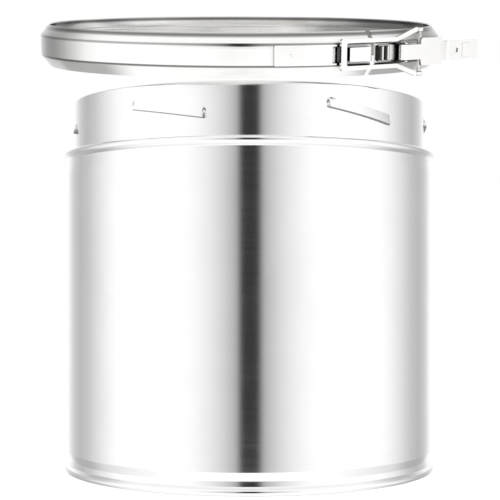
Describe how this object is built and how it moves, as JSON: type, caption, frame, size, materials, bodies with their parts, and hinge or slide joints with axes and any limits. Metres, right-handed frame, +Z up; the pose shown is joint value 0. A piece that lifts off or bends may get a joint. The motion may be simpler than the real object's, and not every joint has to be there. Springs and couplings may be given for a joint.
{
  "type": "lidded storage can with locking band",
  "caption": "Plain round stainless storage can with a reduced ribbed neck, press-in lid and a V-section locking band with a lever latch.",
  "frame": {"origin": "centre of the can's bottom edge, on the surface it stands on", "axes": "+Z up along the can's axis; -Y is the front, where the band is tipped down; +X to the right, where the latch is"},
  "size_m": [0.3347, 0.313, 0.3911],
  "materials": {
    "shell_steel": "polished stainless sheet",
    "band_steel": "satin stainless strip",
    "latch_steel": "pressed stainless",
    "pin_steel": "drawn wire",
    "weld_steel": "weld",
    "inner_steel": "plain sheet",
    "gasket_rubber": "moulded"
  },
  "bodies": {
    "can": {"can_shell": "shell_steel", "side_seam": "weld_steel", "base_plate": "inner_steel", "base_weld": "weld_steel", "mouth_ring": "inner_steel", "mouth_weld": "weld_steel"},
    "lid": {"lid": "inner_steel", "lid_gasket": "gasket_rubber"},
    "band_back": {"band_back_arc": "band_steel"},
    "band_left": {"band_left_arc": "band_steel", "catch_plate": "latch_steel", "catch_welds": "weld_steel"},
    "band_right": {"band_right_arc": "band_steel", "pivot_bracket": "latch_steel", "bracket_welds": "weld_steel", "pivot_pin": "pin_steel", "pin_heads": "pin_steel"},
    "lever": {"lever": "latch_steel"},
    "bail": {"bail_frame": "latch_steel", "bail_pin": "pin_steel"}
  },
  "joints": [
    {"name": "lid_lift", "type": "slide", "parent": "can", "child": "lid", "axis": [0, 0, 1], "range_m": [0, 0.12]},
    {"name": "band_swing", "type": "hinge", "parent": "can", "child": "band_back", "pos_m": [0, -0.378, 0.2494], "axis": [0.9966, 0, 0.0819], "range_deg": [-13.9, 0]},
    {"name": "left_arc_flex", "type": "hinge", "parent": "band_back", "child": "band_left", "pos_m": [-0.16299, 0.00952, 0.34536], "axis": [0.0024, -0.2394, 0.9709], "range_deg": [-3.12, 0]},
    {"name": "right_arc_flex", "type": "hinge", "parent": "band_back", "child": "band_right", "pos_m": [0.01461, 0.13987, 0.37707], "axis": [0.0024, -0.2394, 0.9709], "range_deg": [0, 3.12]},
    {"name": "lever_pivot", "type": "hinge", "parent": "band_right", "child": "lever", "pos_m": [0.10986, -0.11921, 0.31295], "axis": [0.0024, -0.2394, 0.9709], "range_deg": [-150, 0]},
    {"name": "bail_turn", "type": "hinge", "parent": "lever", "child": "bail", "pos_m": [0.12269, -0.10838, 0.31558], "axis": [0.0024, -0.2394, 0.9709], "range_deg": [0, 137.77]}
  ],
  "couplings": [
    {"joint": "left_arc_flex", "follows": "lever_pivot", "ratio": 0.020756},
    {"joint": "right_arc_flex", "follows": "lever_pivot", "ratio": -0.020756},
    {"joint": "bail_turn", "follows": "lever_pivot", "ratio": -0.91779}
  ]
}
